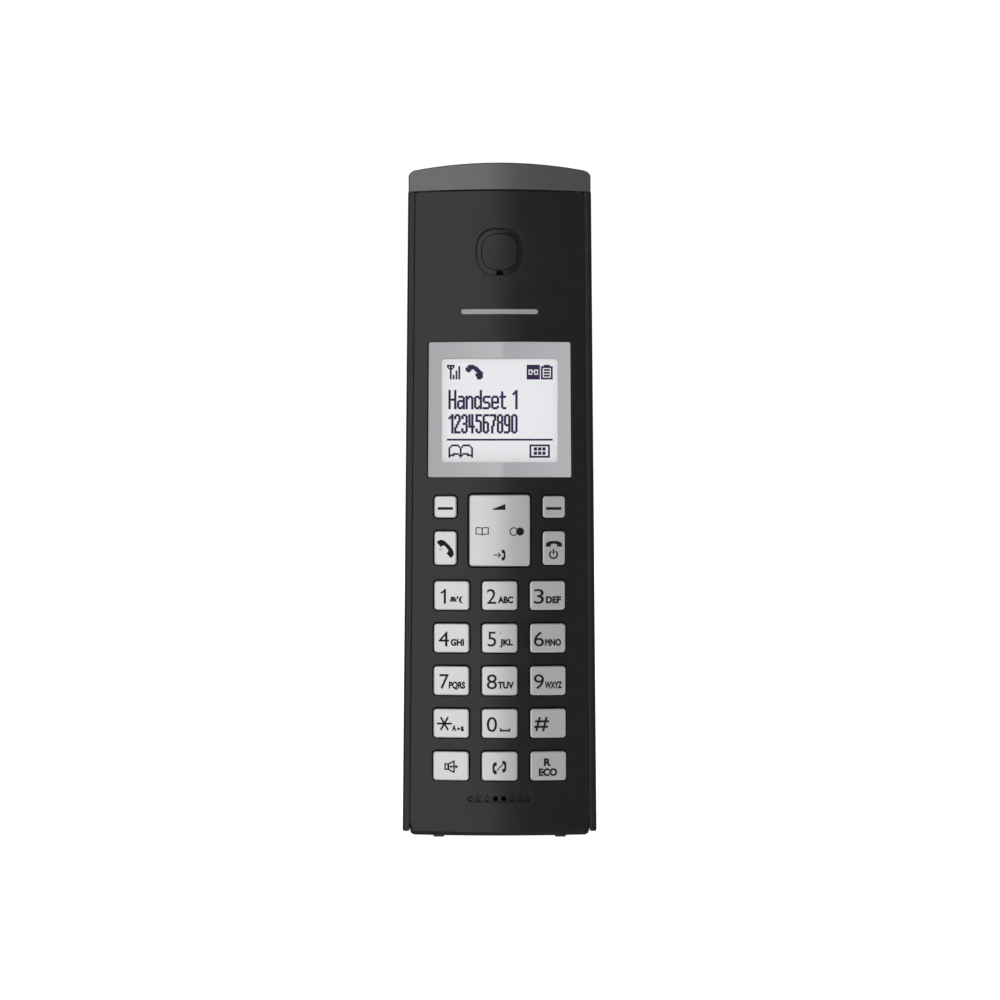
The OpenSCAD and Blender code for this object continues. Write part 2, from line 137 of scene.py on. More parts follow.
class Finish:
    """A material built from nodes round one Principled shader, whose fixed sockets are given by name."""

    def __init__(self, name, **fixed):
        self.material = bpy.data.materials.new(name)
        self.material.use_nodes = True
        self.tree = self.material.node_tree
        self.shader = self.tree.nodes["Principled BSDF"]
        for socket, value in fixed.items():
            self.feed(self.shader.inputs[socket.replace("_", " ").title().replace("Ior", "IOR")], value)

    def feed(self, socket, value):
        """Links a wire to a socket, or sets the socket to a plain value."""
        if isinstance(value, Wire):
            self.tree.links.new(value.socket, socket)
        else:
            colour = isinstance(value, tuple) and len(socket.default_value) == 4
            socket.default_value = (*value, 1.0) if colour else value

    def node(self, kind, settings=None, sockets=None, output=0):
        """Adds a node, sets it, fills its sockets with values or wires, and gives back one of its outputs."""
        made = self.tree.nodes.new("ShaderNode" + kind)
        for setting, value in (settings or {}).items():
            setattr(made, setting, value)
        for socket, value in (sockets or {}).items():
            self.feed(made.inputs[socket], value)
        return Wire(self, made.outputs[output])

    def place(self):
        return self.node("TexCoord", output="Object")

    def along(self):
        """The place on the surface as three numbers in millimetres."""
        return [self.node("SeparateXYZ", sockets={0: self.place()}, output=axis) / MM for axis in range(3)]

    def grain(self, size, detail=2.0):
        """A soft random pattern whose patches are about size across."""
        sockets = {"Vector": self.place(), "Scale": 0.6 / (size * MM), "Detail": detail}
        return self.node("TexNoise", sockets=sockets)

    def between(self, value, low, high, first=0.0, last=1.0):
        """Runs smoothly from first to last while value goes from low to high."""
        sockets = {"Value": value, "From Min": low, "From Max": high, "To Min": first, "To Max": last}
        return self.node("MapRange", {"interpolation_type": "SMOOTHSTEP"}, sockets)

    def blend(self, factor, first, second):
        """A colour that goes from first to second as factor goes from 0 to 1."""
        made = self.tree.nodes.new("ShaderNodeMix")
        made.data_type = "RGBA"
        for place, value in ((0, factor), (6, first), (7, second)):
            self.feed(made.inputs[place], value)
        return Wire(self, made.outputs[2])

    def relief(self, height, strength, distance):
        """Raises the surface where height is high, by distance at most."""
        bump = self.node("Bump", sockets={"Height": height, "Strength": strength, "Distance": distance * MM})
        self.feed(self.shader.inputs["Normal"], bump)

    def drive(self, **wires):
        """Links wires to the shader's sockets, which are given by name."""
        for socket, wire in wires.items():
            self.feed(self.shader.inputs[socket.replace("_", " ").title()], wire)
        return self


def inside_rounded(finish, centre_x, centre_z, half_x, half_z, corner, soft):
    """Goes from 1 inside an upright rounded rectangle to 0 outside it."""
    x, _, z = finish.along()
    over_x = abs(x - centre_x) - (half_x - corner)
    over_z = abs(z - centre_z) - (half_z - corner)
    outside = (over_x.at_least(0) ** 2 + over_z.at_least(0) ** 2) ** 0.5
    distance = outside + over_x.at_least(over_z).at_most(0) - corner
    return finish.between(distance, -soft, soft, 1.0, 0.0)


def moulded(name, colour, roughness, texture=0.12, strength=0.1, **fixed):
    """Moulded or painted plastic: a fine texture from the tool, and a gloss that wanders a little."""
    finish = Finish(name, **fixed)
    wander, spread = finish.grain(3.0, 3.0), 0.04
    finish.drive(base_color=finish.blend(wander, tuple(c * 0.92 for c in colour), colour),
                 roughness=finish.between(wander, 0.3, 0.7, roughness - spread, roughness + spread))
    finish.relief(finish.grain(texture, 1.0), strength, 0.02)
    return finish


def metal(name, colour, roughness):
    """Plated or rolled metal, with fine streaks along the height."""
    finish = Finish(name, metallic=1.0)
    streak, spread = 0.15, 0.06
    stretched = finish.node("Mapping", sockets={"Vector": finish.place(), "Scale": (1.0, 1.0, 0.08)})
    lines = finish.node("TexNoise", sockets={"Vector": stretched, "Scale": 0.6 / (streak * MM), "Detail": 3.0})
    finish.drive(base_color=finish.blend(lines, tuple(c * 0.8 for c in colour), colour),
                 roughness=finish.between(lines, 0.3, 0.7, roughness - spread, roughness + spread))
    finish.relief(lines, 0.08, 0.02)
    return finish


def charcoal_satin():
    return moulded("charcoal satin", (0.012, 0.012, 0.0123), 0.22, strength=0.02)


def graphite_paint():
    """Metallic paint: fine flakes that differ in shade and gloss."""
    finish = Finish("graphite metallic paint", metallic=0.57)
    flakes = finish.grain(0.06, 0.0)
    finish.drive(base_color=finish.blend(flakes, (0.128, 0.128, 0.131), (0.184, 0.184, 0.188)),
                 roughness=finish.between(flakes, 0.35, 0.65, 0.2, 0.25))
    finish.relief(finish.grain(0.15, 1.0), 0.02, 0.02)
    return finish


def silver_paint_and_gap_shade():
    """Silver paint on the part of a key that stands out, and below it near-black bare plastic, darkened as
    painted shade in the gaps round the key.
    """
    finish = Finish("silver key paint")
    x, y, _ = finish.along()
    depth = y - KEY_TOP - x * x / (2 * CROWN_R)
    # Painted shade: below the shell's face the key's sides and flange are made near black and dull so the gaps
    # round the keys read dark; the plastic there is bare, unpainted.
    bare = finish.between(depth, 0.95, 1.25)
    flakes = finish.grain(0.05, 0.0)
    paint = finish.blend(flakes, (0.735, 0.735, 0.75), (0.775, 0.775, 0.79))
    finish.drive(base_color=finish.blend(bare, paint, (0.012, 0.012, 0.012)),
                 metallic=0.54 - bare * 0.54,
                 roughness=finish.between(flakes, 0.35, 0.65, 0.2, 0.23) + bare * 0.4)
    finish.relief(finish.grain(0.12, 1.0), 0.012, 0.02)
    return finish


def window_print_and_painted_reflection():
    """Clear window with a silver border printed round the picture; the border's shade runs from darker at the
    left to lighter at the right as a painted reflection of the curved lens.
    """
    finish = Finish("window with silver print", metallic=0.1, coat_roughness=0.01)
    clear = inside_rounded(finish, *VIEW, 0.8, 0.16)
    flakes = finish.grain(0.05, 0.0)
    # Painted reflection: the border is darker at the left and lighter at the right, standing in for the lens
    # mirroring the room.
    across = finish.between(finish.along()[0], -40.0, 40.0)
    finish.drive(base_color=finish.blend(across, (0.342, 0.338, 0.356), (0.704, 0.696, 0.73)),
                 roughness=finish.between(flakes, 0.0, 1.0, 0.08, 0.1),
                 coat_weight=1 - clear * 0.75,
                 alpha=finish.between(clear, 0.0, 1.0, 1.0, 0.02))
    return finish


def display_glow():
    """The lit display: a little darker towards the edge of its light."""
    finish = Finish("lit display", base_color=(0.25, 0.25, 0.26), roughness=0.2, emission_strength=0.66)
    middle = inside_rounded(finish, *VIEW, 1.5, 1.6)
    light = middle * (0.85 + finish.grain(9.0, 1.0) * 0.3)
    finish.drive(emission_color=finish.blend(light, (0.74, 0.74, 0.76), (0.93, 0.94, 0.96)))
    return finish


def cell_wrap():
    """An AAA cell: printed sleeve between bare nickel ends."""
    finish = Finish("cell sleeve")
    _, _, z = finish.along()
    sleeve_middle = sum(span("battery_cell_left", 2)) / 2 - 0.5
    away = abs(z - sleeve_middle)
    sleeve = finish.between(away, 20.6, 20.8, 1.0, 0.0)
    stripe = finish.between(away, 12.0, 12.2)
    print_colour = finish.blend(stripe, (0.62, 0.66, 0.64), (0.03, 0.2, 0.09))
    finish.drive(base_color=finish.blend(sleeve, (0.6, 0.58, 0.54), print_colour), metallic=1 - sleeve,
                 roughness=finish.between(finish.grain(2.0), 0.3, 0.7, 0.22, 0.32))
    return finish


def board_laminate():
    """Green solder mask over fine copper tracks."""
    finish = Finish("circuit board", coat_weight=0.4, coat_roughness=0.2)
    upright_place = finish.node("Mapping", sockets={"Vector": finish.place(), "Rotation": (math.pi / 2, 0, 0)})
    tracks = finish.node("TexBrick", {"offset": 0.5}, {
        "Vector": upright_place, "Scale": 320.0, "Mortar Size": 0.06,
        "Color1": (0.012, 0.1, 0.045), "Color2": (0.016, 0.13, 0.06), "Mortar": (0.03, 0.2, 0.09)})
    finish.drive(base_color=tracks, roughness=finish.between(finish.grain(1.0), 0.3, 0.7, 0.3, 0.4))
    return finish


# Modelling helpers

def only(*pieces):
    """Picks these pieces and nothing else, with the first one active."""
    bpy.ops.object.select_all(action="DESELECT")
    for piece in pieces:
        piece.select_set(True)
    bpy.context.view_layer.objects.active = pieces[0]


def placed(name):
    """Names the new primitive and moves its place and size into its mesh."""
    piece = bpy.context.active_object
    piece.name = piece.data.name = name
    bpy.ops.object.transform_apply(location=True, rotation=True, scale=True)
    return piece


def block(name, x, y, z):
    """A box between pairs of places."""
    bpy.ops.object.select_all(action="DESELECT")
    middle = [(a + b) / 2 * MM for a, b in (x, y, z)]
    bpy.ops.mesh.primitive_cube_add(size=1, location=middle, scale=[(b - a) * MM for a, b in (x, y, z)])
    return placed(name)


def drum(name, x, z, radius, y, sides=48):
    """A round bar from front to back."""
    bpy.ops.object.select_all(action="DESELECT")
    middle = (x * MM, sum(y) / 2 * MM, z * MM)
    bpy.ops.mesh.primitive_cylinder_add(vertices=sides, radius=radius * MM, depth=(y[1] - y[0]) * MM,
                                        location=middle, rotation=(math.pi / 2, 0, 0))
    return placed(name)


def pick(piece, kind, wanted):
    """Opens a piece for editing with only the wanted corners, edges or faces picked."""
    only(piece)
    bpy.ops.object.mode_set(mode="EDIT")
    bpy.ops.mesh.select_mode(type=kind)
    bpy.ops.mesh.select_all(action="DESELECT")
    mesh = bmesh.from_edit_mesh(piece.data)
    for part in {"VERT": mesh.verts, "EDGE": mesh.edges, "FACE": mesh.faces}[kind]:
        if wanted(part):
            part.select_set(True)
    mesh.select_flush_mode()
    bmesh.update_edit_mesh(piece.data)


def done():
    bpy.ops.object.mode_set(mode="OBJECT")


def middle_of(edge):
    return (edge.verts[0].co + edge.verts[1].co) / 2 / MM


def runs(edge, axis):
    """Does an edge run along an axis, or nearly?"""
    return abs((edge.verts[0].co - edge.verts[1].co).normalized()[axis]) > 0.99


def sharp(edge, degrees=50):
    return len(edge.link_faces) == 2 and edge.calc_face_angle() > math.radians(degrees)


def level(part, axis, place):
    """Does all of an edge lie at one place on an axis?"""
    return all(abs(corner.co[axis] / MM - place) < 0.004 for corner in part.verts)


def round_edges(piece, wanted, radius, steps=4):
    pick(piece, "EDGE", wanted)
    bpy.ops.mesh.bevel(offset=radius * MM, segments=steps, affect="EDGES")
    done()
    return piece


def cut(piece, *tools, how="DIFFERENCE"):
    """Takes tools away from a piece, or adds them to it, and clears them away."""
    for tool in tools:
        only(piece)
        step = piece.modifiers.new("cut", "BOOLEAN")
        step.operation, step.solver, step.object = how, "EXACT", tool
        bpy.ops.object.modifier_apply(modifier=step.name)
        bpy.data.objects.remove(tool)
    return piece


def together(*pieces):
    """Makes several pieces one object."""
    only(*pieces)
    bpy.ops.object.join()
    return pieces[0]


def rounded_block(name, x, y, z, corner, steps=6):
    """A box whose four edges from front to back are round."""
    return round_edges(block(name, x, y, z), lambda edge: runs(edge, 1), corner, steps)


def narrowed(piece, inset=0.0):
    """Brings the top of a box in as the handset's sides do; its foot already has the right width."""
    heights = [corner.co.z for corner in piece.data.vertices]
    low, high = min(heights), max(heights)
    factor = (half_width(high / MM) - inset) / (half_width(low / MM) - inset)
    pick(piece, "VERT", lambda corner: corner.co.z > high - 1e-6)
    bpy.ops.transform.resize(value=(factor, 1, 1), center_override=(0, 0, 0))
    done()
    return piece


def leaned(piece, wanted=lambda corner: True):
    """Moves corners forward with their height, as the back of the handset leans."""
    for corner in piece.data.vertices:
        if wanted(corner):
            corner.co.y -= (corner.co.z - FOOT * MM) * LEANING
    return piece


def sliced(piece, reach, step=1.0, middle=0.0):
    """Adds the upright lines along which a piece is bent afterwards."""
    only(piece)
    bpy.ops.object.mode_set(mode="EDIT")
    count = int(reach / step)
    for k in range(-count, count + 1):
        bpy.ops.mesh.select_all(action="SELECT")
        bpy.ops.mesh.bisect(plane_co=((middle + k * step) * MM, 0, 0), plane_no=(1, 0, 0), threshold=1e-6)
    done()
    return piece


def crowned(piece):
    """Curves the front of a piece back towards its sides, and its inside less and less."""
    full_depth = 0.8
    for corner in piece.data.vertices:
        depth = corner.co.y / MM - FRONT
        share = min(1.0, max(0.0, (INNER - FRONT - depth) / (INNER - FRONT - full_depth)))
        corner.co.y += share * sag(corner.co.x / MM) * MM
    return piece


def smooth(piece, degrees=35):
    """Smooth shading that leaves the broad faces even and the sharp edges sharp."""
    only(piece)
    bpy.ops.object.shade_smooth_by_angle(angle=math.radians(degrees))
    step = piece.modifiers.new("even shading", "WEIGHTED_NORMAL")
    step.keep_sharp = True
    bpy.ops.object.modifier_apply(modifier=step.name)
    return piece


def fit_out(piece, finish, body, slot, *nodes):
    """Gives a finished piece its material and the body it moves with, and hides the nodes it stands for."""
    piece.data.materials.clear()
    piece.data.materials.append(finish.material)
    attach(piece, body)
    if nodes:
        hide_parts(*nodes)
    return piece


# The shell

def key_hole(key, y, gap):
    """The opening for a key, or the key's own outline where the gap is nothing."""
    x, z = span(key, 0), span(key, 2)
    grow = gap - FLANGE
    return rounded_block("hole", (x[0] - grow, x[1] + grow), y, (z[0] - grow, z[1] + grow), KEY_CORNER + gap)


def earpiece_ring(y):
    """A shallow ring whose floor falls away from the island in its middle."""
    outer, inner, spread = 5.875, 4.6, 1.26

    def square(name, half, reach, corner):
        return rounded_block(name, (-half, half), reach, (RING_Z - half, RING_Z + half), corner, 14)

    ring = square("ring", outer, y, 4.7)
    island = square("island", inner, (y[0] - 1, y[1] + 1), 3.6)
    slope = square("slope", inner, (y[1] - 0.24, y[1] + 0.04), 3.6)
    pick(slope, "VERT", lambda corner: corner.co.y > y[1] * MM)
    bpy.ops.transform.resize(value=(spread, 1, spread), center_override=(0, 0, RING_Z * MM))
    done()
    return cut(ring, island, slope)


def foot_ribs(y):
    """A pair of low feet with chamfered lower edges."""
    middle, half = 15.25, 1.35
    ribs = [block("rib", (x - half, x + half), y, (0.0, FOOT + 0.3)) for x in (-middle, middle)]
    return [round_edges(rib, lambda edge: level(edge, 2, 0.0) and runs(edge, 1), 0.2, 2) for rib in ribs]


def window_seat():
    """The recess for the display window."""
    x, z = span("display_window", 0), span("display_window", 2)
    seat = rounded_block("seat", (x[0] - SEAT_GAP, x[1] + SEAT_GAP), (FRONT - PAST, -9.6),
                         (z[0] - SEAT_GAP, z[1] + SEAT_GAP), 0.5, 4)
    return window_narrowed(seat)


def microphone_holes(piece):
    """The holes in the microphone slot: two go through, and the others are rings round a pip."""
    half_step = 1.05
    for k in (-7, -5, -3, 3, 5, 7):
        x = k * half_step
        dimple = drum("dimple", x, MIC_Z, 0.66, (FRONT - 1, FRONT + 1.5), 24)
        cut(piece, cut(dimple, drum("pip", x, MIC_Z, 0.36, (FRONT - PAST, FRONT + 2), 24)))
    mouths = [drum("mouth", k * half_step, MIC_Z, 0.63, (FRONT - 1, BEHIND), 24) for k in (-1, 1)]
    cut(piece, together(*mouths))


def front_shell():
    """The crowned front cover with its openings, its earpiece ring and its microphone slot."""
    chamfer = 1.1
    top = span("front_cover", 2)[1]
    half = half_width(FOOT) - TRIM
    piece = narrowed(block("front_shell", (-half, half), (FRONT, SEAM), (FOOT, top)), TRIM)
    round_edges(piece, lambda edge: runs(edge, 1) and middle_of(edge).z < 1, chamfer, 2)
    round_edges(piece, lambda edge: level(edge, 1, FRONT) and middle_of(edge).z < 2 * chamfer, chamfer, 1)
    round_edges(piece, lambda edge: level(edge, 1, FRONT) and sharp(edge), 0.12, 2)
    half -= WALL
    cut(piece, narrowed(block("hollow", (-half, half), (INNER, 0.0), (FOOT + WALL, ABOVE)), TRIM + WALL))

    holes = [key_hole(key, (FRONT - PAST, 0.0), 0.2) for key in KEYS]
    holes.append(key_hole("nav_key", (FRONT - PAST, 0.0), 0.3))
    slot = rounded_block("slot", (-7.9, 7.9), (FRONT - PAST, FRONT + 0.55), (MIC_Z - 0.75, MIC_Z + 0.75), 0.74)
    cut(piece, together(*holes, window_seat(), earpiece_ring((FRONT - PAST, FRONT + 0.75)), slot))
    rim = lambda edge: level(edge, 1, FRONT) and sharp(edge)
    near_ring = lambda edge: (middle_of(edge) - Vector((0, FRONT, RING_Z))).length < 5.3
    round_edges(piece, lambda edge: rim(edge) and near_ring(edge), 0.42, 4)
    round_edges(piece, rim, 0.13, 3)

    x, z, half_x, half_z = VIEW
    half_x, half_z = half_x + 0.6, half_z + 0.6
    cut(piece, block("view", (x - half_x, x + half_x), (-11.0, BEHIND), (z - half_z, z + half_z)))
    cut(piece, block("sound_slot", (-0.85, 0.85), (FRONT - 1, BEHIND), (RING_Z - 5.8, RING_Z - 4.7)))
    microphone_holes(piece)
    sliced(piece, 22)
    half_top, bend_from = 22.6, 150
    for corner in piece.data.vertices:
        rise = max(0.0, (corner.co.z / MM - bend_from) / (top - bend_from))
        corner.co.z -= rise * JOINT_DROP * (corner.co.x / MM / half_top) ** 2 * MM
    crowned(piece)
    for rib in foot_ribs((-10.4, -4.4)):
        cut(piece, rib, how="UNION")
    return smooth(piece)


def window_narrowed(piece):
    """Brings the sides of the window in a little towards the top, in step with the handset."""
    middle = sum(span("display_window", 2)) / 2
    for corner in piece.data.vertices:
        corner.co.x *= half_width(corner.co.z / MM) / half_width(middle)
    return piece


def window_lens():
    """The display window, curved as the front is."""
    x, z = span("display_window", 0), span("display_window", 2)
    front = FRONT + 0.03
    half = x[1] * half_width(sum(z) / 2) / half_width(z[0])
    piece = window_narrowed(rounded_block("window_lens", (-half, half), (front, -9.65), z, 0.45, 4))
    round_edges(piece, lambda edge: level(edge, 1, front) and sharp(edge), 0.14, 3)
    return smooth(crowned(sliced(piece, 18, 0.5)))


def top_cap():
    """The metallic cap: a low arch with round shoulders, and the skirt that plugs it into the covers."""
    arch = 1.9
    half = half_width(JOINT_Z) - 0.12
    top = span("top_cap", 2)[1]
    back = REAR - (JOINT_Z - FOOT) * LEANING
    piece = block("cap", (-half, half), (FRONT, back), (JOINT_Z, top))
    for corner in piece.data.vertices:
        if corner.co.y > 0 and corner.co.z > (top - 1) * MM:
            corner.co.y -= (top - JOINT_Z) * LEANING * MM
    behind_front = lambda edge: middle_of(edge).y > FRONT + 0.1
    above_joint = lambda edge: middle_of(edge).z > JOINT_Z + 0.1
    round_edges(piece, lambda edge: runs(edge, 2) and middle_of(edge).y > 0, REAR_ROUND, 12)
    round_edges(piece, lambda edge: level(edge, 2, top) and sharp(edge) and behind_front(edge), 1.8, 6)
    round_edges(piece, lambda edge: level(edge, 1, FRONT) and sharp(edge, 40) and above_joint(edge), 0.45, 4)
    round_edges(piece, lambda edge: level(edge, 2, JOINT_Z) and sharp(edge, 40), 0.16, 2)
    sliced(piece, 22)
    for corner in piece.data.vertices:
        rise = (corner.co.z / MM - JOINT_Z) / (top - JOINT_Z)
        drop = JOINT_DROP + rise * (arch - JOINT_DROP)
        corner.co.z -= drop * (corner.co.x / MM / half) ** 2 * MM
    crowned(piece)
    skirt = rounded_block("skirt", (-20.6, 20.6), (INNER + 0.1, back - 2), (JOINT_Z - 3.5, JOINT_Z + 0.5),
                          0.4, 2)
    return smooth(together(piece, skirt))


def side_trim(name, side):
    """One side trim, round on its outer front edge and at its ends, with the flange that holds it."""
    low, high = 1.25, span("side_trim_right", 2)[1]
    front, back = -9.9, SEAM + 0.05

    def bar(label, near, far, y, foot):
        """A bar between two distances inside the handset's side, that comes in with the side."""
        x = sorted(side * (half_width(low) - inset) for inset in (near, far))
        made = block(label, x, y, (foot, high))
        pick(made, "VERT", lambda corner: corner.co.z > (high - 1) * MM)
        bpy.ops.transform.translate(value=(-side * NARROWING * (high - low) * MM, 0, 0))
        done()
        return made

    piece = bar(name, 0.0, 1.78, (front, back), low)
    outer = lambda edge: side * middle_of(edge).x > half_width(middle_of(edge).z) - 0.1
    round_edges(piece, lambda edge: level(edge, 1, front) and outer(edge) and runs(edge, 2), 0.8, 8)
    round_edges(piece, lambda edge: sharp(edge) and middle_of(edge).z < low + 0.1, 0.5, 4)
    round_edges(piece, lambda edge: sharp(edge) and middle_of(edge).z > low + 1, 0.08, 2)
    return smooth(together(piece, bar("flange", 1.6, 3.2, (back - 0.6, back), low + 1)))


def back_block(name, half, y, z, radius, inset=0.0):
    """A body-shaped block: sides that come in, a back that leans, and round rear edges."""
    piece = narrowed(block(name, (-half, half), y, z), inset)
    leaned(piece, lambda corner: corner.co.y > 0)
    return round_edges(piece, lambda edge: runs(edge, 2) and middle_of(edge).y > 0, radius, 14)


def trimmed(piece, point, direction):
    """Cuts away what lies beyond a slanting plane and closes the cut."""
    only(piece)
    bpy.ops.object.mode_set(mode="EDIT")
    bpy.ops.mesh.select_all(action="SELECT")
    place = [p * MM for p in point]
    bpy.ops.mesh.bisect(plane_co=place, plane_no=direction, use_fill=True, clear_outer=True, threshold=1e-6)
    done()
    return piece


def door_outline(name, y, grow):
    """The battery door's shape, square at the foot and round at its two upper corners."""
    half = 16 + grow
    foot = FOOT + 0.4 - 30 * grow
    top = FOOT + 0.4 + 74 + grow
    piece = block(name, (-half, half), y, (foot, top))
    return leaned(round_edges(piece, lambda edge: runs(edge, 1) and middle_of(edge).z > top - 1, 3.0, 8))


def grille_slots():
    """The loudspeaker's slots, which fill a circle."""
    middle, step, radius, tall = 99, 2.4, math.sqrt(72), 0.55
    slots = []
    for k in range(-3, 4):
        half, z = math.sqrt(radius ** 2 - (step * k) ** 2), middle + step * k
        slot = rounded_block("slot", (-half, half), (REAR - 2.6, REAR + 1), (z - tall, z + tall), 0.54, 5)
        slots.append(leaned(slot))
    return slots


# Where the case screws are across and up, and how deep their bosses reach
SCREWS = [(15.2, 150.0, 5.8), (-15.2, 150.0, 5.8), (13.8, 8.0, 11.8), (-13.8, 8.0, 11.8)]


def rear_shell():
    """The rear cover with the battery bay, the loudspeaker's slots and the screw wells."""
    top = span("rear_cover", 2)[1]
    foot, seam, floor_top = FOOT + 0.1, SEAM + 0.15, 2.5
    piece = back_block("rear_shell", half_width(foot), (seam, REAR), (foot, top), REAR_ROUND)
    hollow = back_block("hollow", half_width(floor_top) - WALL, (-5.0, REAR - WALL), (floor_top, ABOVE),
                        REAR_ROUND - WALL, WALL)
    for side in (-1, 1):
        slant = (side * 0.735, 0, -0.678)  # outwards and down, square to the slanting lower corner
        trimmed(piece, (side * FOOT_HALF, 0, 4.2), slant)
        trimmed(hollow, (side * (FOOT_HALF - WALL), 0, 4.9), slant)
    near_foot = lambda edge: middle_of(edge).z < 6 and middle_of(edge).y > SEAM + 0.3
    round_edges(piece, lambda edge: sharp(edge, 40) and near_foot(edge), 0.5, 4)
    below_top = lambda edge: middle_of(edge).z < top - 1
    round_edges(piece, lambda edge: level(edge, 1, seam) and sharp(edge) and below_top(edge), 0.15, 2)
    cut(piece, hollow)

    cut(piece, leaned(block("shelf", (-18.4, 18.4), (REAR - 3, REAR - 0.5), (FOOT + 0.5, 79.0))), how="UNION")
    bay_walls = block("bay_walls", (-12.6, 12.6), (-3.3, REAR - 1.5), (12.9, 64.6))
    cut(piece, leaned(bay_walls, lambda corner: corner.co.y > 0), how="UNION")
    for x, z, depth in SCREWS:
        cut(piece, drum("boss", x, z, 3.1, (-0.4, depth), 40), how="UNION")
        cut(piece, drum("well", x, z, 2.2, (1.2, 20.0), 40), drum("hole", x, z, 1.15, (-2.0, 2.0), 32))
    cut(piece, door_outline("recess", (REAR - 1.7, REAR + 3), 0.15))
    cut(piece, leaned(block("grooves", (-17.0, 17.0), (REAR - 1.55, REAR - 0.75), (-5.0, 69.0))))
    cut(piece, block("bay", (-11.5, 11.5), (-2.2, 30.0), (14.0, 63.5)))
    for slot in grille_slots():
        cut(piece, slot)
    for side in (-1, 1):
        cut(piece, block("contact_hole", sorted((side * 6.1, side * 10.9)), (1.4, 7.6), (0.0, 3.0)))
    for rib in foot_ribs((-2.4, 9.6)):
        cut(piece, rib, how="UNION")
    return smooth(piece, 30)


def battery_door():
    """The sliding battery cover, with a grip of shortening grooves and its two long tongues."""
    piece = door_outline("battery_door", (REAR - 1.6, REAR), 0.0)

    def on_back(edge):
        return all(abs(end.co.y / MM - REAR + (end.co.z / MM - FOOT) * LEANING) < 0.01 for end in edge.verts)

    round_edges(piece, lambda edge: on_back(edge) and sharp(edge), 0.3, 3)
    for k in range(6):
        half, z = 7 - k * 0.8, 66.0 - 2 * k
        groove = rounded_block("groove", (-half, half), (REAR - 0.35, REAR + 1), (z - 0.45, z + 0.45), 0.44, 4)
        cut(piece, leaned(groove))
    tongues = leaned(block("tongues", (-16.85, 16.85), (REAR - 1.45, REAR - 0.85), (5.0, 68.0)))
    return smooth(cut(piece, tongues, how="UNION"))


# The keys and what is printed on them

def key_cap(key):
    """A key with soft upper edges, the flange that keeps it in and the plungers behind it."""
    x, z = span(key, 0), span(key, 2)
    middle_x, middle_z = sum(x) / 2, sum(z) / 2
    nav = key == "nav_key"
    seat, plunger_end = (-8.1, -6.05) if nav else (-8.8, -6.3)
    piece = key_hole(key, (KEY_TOP, seat + 0.05), -0.08)
    piece.name = piece.data.name = key + "_cap"
    round_edges(piece, lambda edge: level(edge, 1, KEY_TOP) and sharp(edge), 0.5 if nav else 0.36, 5)
    crowned(sliced(piece, (x[1] - x[0]) / 2, middle=round(middle_x)))
    radius = 1.5 if key in sum(DIAL_KEYS, []) else 1.2
    spots = [(0, 7), (0, -7), (6, 0), (-6, 0)] if nav else [(0, 0)]
    parts = [drum("plunger", middle_x + a, middle_z + b, radius, (seat, plunger_end), 24) for a, b in spots]
    if nav:
        hub = drum("hub", 0, middle_z, 2.7, (seat, -7.1), 40)
        parts.append(cut(hub, drum("socket", 0, middle_z, 1.65, (-9.85, -6.0), 40)))
    parts.append(rounded_block("flange", x, (seat, seat + 0.75), z, KEY_CORNER, 4))
    return smooth(together(piece, *parts))


def printed(name, loops, x, z):
    """A flat printed shape: closed loops of points, round a place, facing the front."""
    curve = bpy.data.curves.new(name, "CURVE")
    curve.dimensions, curve.fill_mode = "2D", "BOTH"
    for loop in loops:
        spline = curve.splines.new("POLY")
        spline.points.add(len(loop) - 1)
        spline.use_cyclic_u = True
        for point, (a, b) in zip(spline.points, loop):
            point.co = (a * MM, b * MM, 0, 1)
    piece = bpy.data.objects.new(name, curve)
    bpy.context.scene.collection.objects.link(piece)
    return upright(piece, x, z)


def upright(piece, x, z):
    """Turns a flat curve or text into a mesh that faces the front at a place."""
    only(piece)
    bpy.ops.object.convert(target="MESH")
    piece = bpy.context.active_object
    piece.location, piece.rotation_euler = (x * MM, 0, z * MM), (math.pi / 2, 0, 0)
    bpy.ops.object.transform_apply(location=True, rotation=True, scale=True)
    return piece


def lettering(words, x, z):
    """Plain letters whose ink fills the box x by z. Digits are large and thin; letters get wider strokes."""
    bpy.ops.object.select_all(action="DESELECT")
    bpy.ops.object.text_add()
    piece = bpy.context.active_object
    piece.data.body, piece.data.bevel_resolution = words, 0
    piece.data.bevel_depth = 0.002 if words.isdigit() else 0.05
    piece = upright(piece, 0, 0)
    for axis, (low, high) in ((0, x), (2, z)):
        places = [corner.co[axis] for corner in piece.data.vertices]
        start, factor = min(places), (high - low) * MM / (max(places) - min(places))
        for corner in piece.data.vertices:
            corner.co[axis] = low * MM + (corner.co[axis] - start) * factor
    return piece


def laid_on_key(piece):
    """Lays flat ink on the crowned front of a key."""
    flatness, lift = 0.0002, 0.012
    for corner in piece.data.vertices:
        corner.co.y = KEY_TOP * MM + corner.co.y * flatness
    crowned(sliced(piece, 24))
    for corner in piece.data.vertices:
        corner.co.y -= lift * MM
    return piece


def strip(x0, z0, x1, z1, width):
    """The four corners of a straight stroke."""
    length = math.hypot(x1 - x0, z1 - z0)
    a, b = (z0 - z1) / length * width / 2, (x1 - x0) / length * width / 2
    return [(x0 + a, z0 + b), (x0 - a, z0 - b), (x1 - a, z1 - b), (x1 + a, z1 + b)]


def spoke(x, z, reach, width, angle):
    """A straight stroke through its middle, at an angle."""
    a, b = reach * math.cos(angle), reach * math.sin(angle)
    return strip(x - a, z - b, x + a, z + b, width)


def arc(x, z, radius, start, end, steps):
    """Points along a circle from one angle to another, in degrees."""
    angles = [math.radians(start + (end - start) * k / steps) for k in range(steps + 1)]
    return [(x + radius * math.cos(angle), z + radius * math.sin(angle)) for angle in angles]


